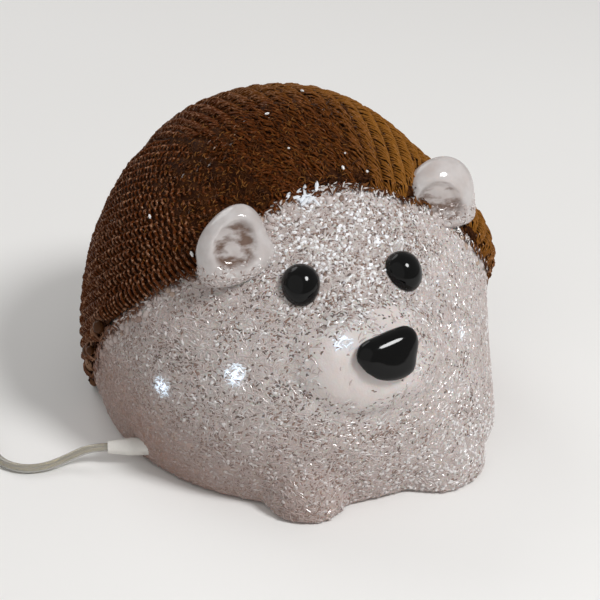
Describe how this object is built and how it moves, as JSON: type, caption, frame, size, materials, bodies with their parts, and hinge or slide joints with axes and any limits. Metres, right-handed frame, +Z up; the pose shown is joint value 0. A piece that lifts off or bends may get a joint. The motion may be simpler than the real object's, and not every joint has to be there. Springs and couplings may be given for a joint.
{
  "type": "lit hedgehog ornament",
  "caption": "Hedgehog ornament of clear thread-textured acrylic with a brown ribbed coat, gloss black eyes and nose, lamps inside and a clear cable.",
  "frame": {"origin": "on the table under the middle of the object, measured without its cable", "axes": "+Z up, the face looks along -Y, +X is the animal's left"},
  "size_m": [0.1766, 0.1384, 0.09],
  "materials": {
    "clear_threads": "translucent, fused clear threads and granules",
    "brown_threads": "gloss brown-tinted threads laid in rows",
    "clear_smooth": "clear, smooth, gloss",
    "gloss_black": "high gloss",
    "base_clear": "clear, satin",
    "lamp_lens": "clear cool-white lamp",
    "lamp_sleeve": "shrink sleeve",
    "glue": "set clear glue",
    "wire_jacket": "clear jacket over copper",
    "cord_jacket": "clear jacket over two copper cores",
    "gland_clear": "clear soft sleeve",
    "tie_band": "plain band",
    "plug_clear": "clear moulded plug",
    "pin_metal": "plain metal pins"
  },
  "bodies": {
    "root": {"body_shell": "clear_threads", "spine_coat": "brown_threads", "base_plate": "base_clear", "muzzle": "clear_smooth", "nose": "gloss_black", "right_eye": "gloss_black", "left_eye": "gloss_black", "right_ear": "clear_smooth", "left_ear": "clear_smooth", "front_right_paw": "clear_threads", "front_left_paw": "clear_threads", "led_sleeves": "lamp_sleeve", "led_glue_dabs": "glue", "led_wire": "wire_jacket", "cable_gland": "gland_clear", "supply_cord": "cord_jacket", "cord_coil": "cord_jacket", "cord_tie": "tie_band", "plug_body": "plug_clear", "plug_pins": "pin_metal", "led_1": "lamp_lens", "led_2": "lamp_lens", "led_3": "lamp_lens", "led_4": "lamp_lens", "led_5": "lamp_lens", "led_6": "lamp_lens", "led_7": "lamp_lens", "led_8": "lamp_lens"}
  },
  "joints": []
}
